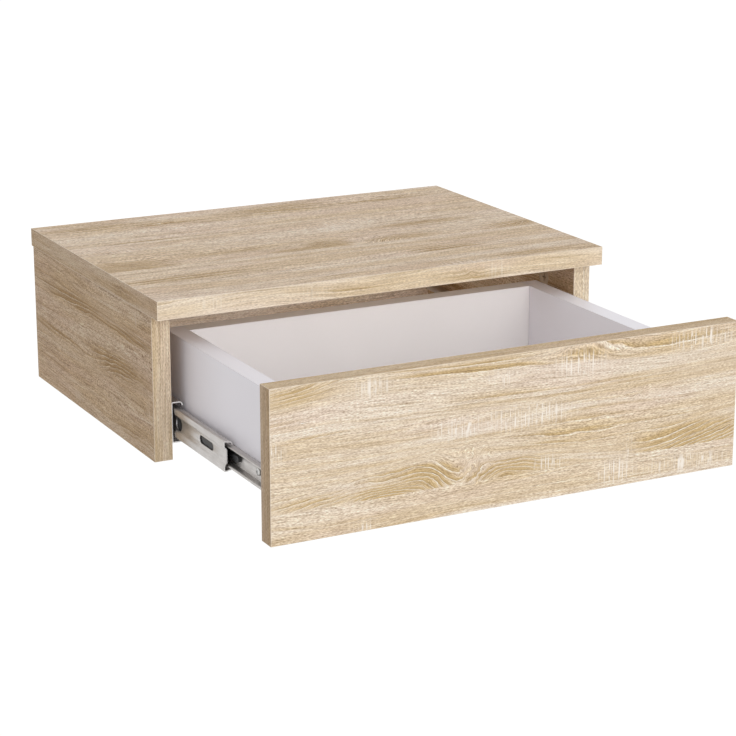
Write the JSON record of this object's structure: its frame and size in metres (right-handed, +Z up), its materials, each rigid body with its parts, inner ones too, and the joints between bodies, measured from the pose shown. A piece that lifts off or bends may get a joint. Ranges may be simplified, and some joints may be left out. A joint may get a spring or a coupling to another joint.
{
  "type": "floating nightstand",
  "caption": "Wall-hung bedside unit: a shallow oak-look carcass, open underneath, with a white drawer on full-extension ball-bearing slides behind a plain handleless front.",
  "frame": {"origin": "middle of the back panel's rear face, on the wall plane, at half the height of the unit", "axes": "+X to the right seen from the front, +Y out of the back into the wall, +Z up; the drawer opens along -Y"},
  "size_m": [0.42, 0.505, 0.14],
  "materials": {
    "oak_laminate": "matt oak-pattern laminate on particle board, with a fine cross-cut grain",
    "white_laminate": "satin white laminate on particle board",
    "white_hardboard": "painted thin hardboard",
    "beech": "bare beech",
    "zinc_steel": "bright zinc plate on cold-rolled steel strip",
    "ball_steel": "polished bearing steel and thin zinc-plated strip",
    "cast_zinc": "plain zinc die casting",
    "screw_steel": "zinc-plated steel",
    "black_plastic": "black moulded plastic",
    "rubber": "dark soft rubber"
  },
  "bodies": {
    "carcass": {"top_panel": "oak_laminate", "left_side_panel": "oak_laminate", "right_side_panel": "oak_laminate", "back_panel": "oak_laminate", "slide_outer_left": "zinc_steel", "slide_outer_right": "zinc_steel", "rear_bumper_left": "rubber", "rear_bumper_right": "rubber", "outer_slide_screw_left_front": "screw_steel", "outer_slide_screw_left_rear": "screw_steel", "outer_slide_screw_right_front": "screw_steel", "outer_slide_screw_right_rear": "screw_steel", "cam_lock_top_left_front": "cast_zinc", "cam_lock_top_left_rear": "cast_zinc", "cam_lock_top_right_front": "cast_zinc", "cam_lock_top_right_rear": "cast_zinc", "cam_bolt_top_left_front": "screw_steel", "cam_bolt_top_left_rear": "screw_steel", "cam_bolt_top_right_front": "screw_steel", "cam_bolt_top_right_rear": "screw_steel", "dowel_top_left_front": "beech", "dowel_top_left_rear": "beech", "dowel_top_right_front": "beech", "dowel_top_right_rear": "beech", "cam_lock_back_left": "cast_zinc", "cam_lock_back_right": "cast_zinc", "cam_bolt_back_left": "screw_steel", "cam_bolt_back_right": "screw_steel", "dowel_back_left": "beech", "dowel_back_right": "beech"},
    "drawer": {"drawer_front": "oak_laminate", "drawer_left_side": "white_laminate", "drawer_right_side": "white_laminate", "drawer_back": "white_laminate", "drawer_bottom": "white_hardboard", "slide_inner_left": "zinc_steel", "slide_inner_right": "zinc_steel", "inner_slide_screw_left_front": "screw_steel", "inner_slide_screw_left_rear": "screw_steel", "inner_slide_screw_right_front": "screw_steel", "inner_slide_screw_right_rear": "screw_steel", "drawer_back_screw_left_upper": "screw_steel", "drawer_back_screw_left_lower": "screw_steel", "drawer_back_screw_right_upper": "screw_steel", "drawer_back_screw_right_lower": "screw_steel", "cam_lock_front_left": "cast_zinc", "cam_lock_front_right": "cast_zinc", "cam_bolt_front_left": "screw_steel", "cam_bolt_front_right": "screw_steel", "dowel_front_left": "beech", "dowel_front_right": "beech"},
    "intermediate_left": {"slide_intermediate_left": "zinc_steel"},
    "intermediate_right": {"slide_intermediate_right": "zinc_steel"},
    "outer_cage_left": {"outer_ball_cage_left": "ball_steel"},
    "outer_cage_right": {"outer_ball_cage_right": "ball_steel"},
    "inner_cage_left": {"inner_ball_cage_left": "ball_steel"},
    "inner_cage_right": {"inner_ball_cage_right": "ball_steel"},
    "lever_left": {"release_lever_left": "black_plastic"},
    "lever_right": {"release_lever_right": "black_plastic"}
  },
  "joints": [
    {"name": "drawer_slide", "type": "slide", "parent": "carcass", "child": "drawer", "axis": [0, -1, 0], "range_m": [-0.205, 0.045]},
    {"name": "intermediate_left_slide", "type": "slide", "parent": "carcass", "child": "intermediate_left", "axis": [0, -1, 0], "range_m": [-0.1025, 0.0225]},
    {"name": "intermediate_right_slide", "type": "slide", "parent": "carcass", "child": "intermediate_right", "axis": [0, -1, 0], "range_m": [-0.1025, 0.0225]},
    {"name": "outer_cage_left_slide", "type": "slide", "parent": "carcass", "child": "outer_cage_left", "axis": [0, -1, 0], "range_m": [-0.05125, 0.01125]},
    {"name": "outer_cage_right_slide", "type": "slide", "parent": "carcass", "child": "outer_cage_right", "axis": [0, -1, 0], "range_m": [-0.05125, 0.01125]},
    {"name": "inner_cage_left_slide", "type": "slide", "parent": "intermediate_left", "child": "inner_cage_left", "axis": [0, -1, 0], "range_m": [-0.05125, 0.01125]},
    {"name": "inner_cage_right_slide", "type": "slide", "parent": "intermediate_right", "child": "inner_cage_right", "axis": [0, -1, 0], "range_m": [-0.05125, 0.01125]},
    {"name": "release_lever_left_hinge", "type": "hinge", "parent": "drawer", "child": "lever_left", "pos_m": [-0.18235, -0.3457, -0.0387], "axis": [1, 0, 0], "range_deg": [0, 4], "stiffness_Nm_per_rad": 0.2},
    {"name": "release_lever_right_hinge", "type": "hinge", "parent": "drawer", "child": "lever_right", "pos_m": [0.18235, -0.3457, -0.0387], "axis": [1, 0, 0], "range_deg": [-4, 0], "stiffness_Nm_per_rad": 0.2}
  ],
  "couplings": [
    {"joint": "intermediate_left_slide", "follows": "drawer_slide", "ratio": 0.5},
    {"joint": "intermediate_right_slide", "follows": "drawer_slide", "ratio": 0.5},
    {"joint": "outer_cage_left_slide", "follows": "drawer_slide", "ratio": 0.25},
    {"joint": "outer_cage_right_slide", "follows": "drawer_slide", "ratio": 0.25},
    {"joint": "inner_cage_left_slide", "follows": "drawer_slide", "ratio": 0.25},
    {"joint": "inner_cage_right_slide", "follows": "drawer_slide", "ratio": 0.25}
  ]
}
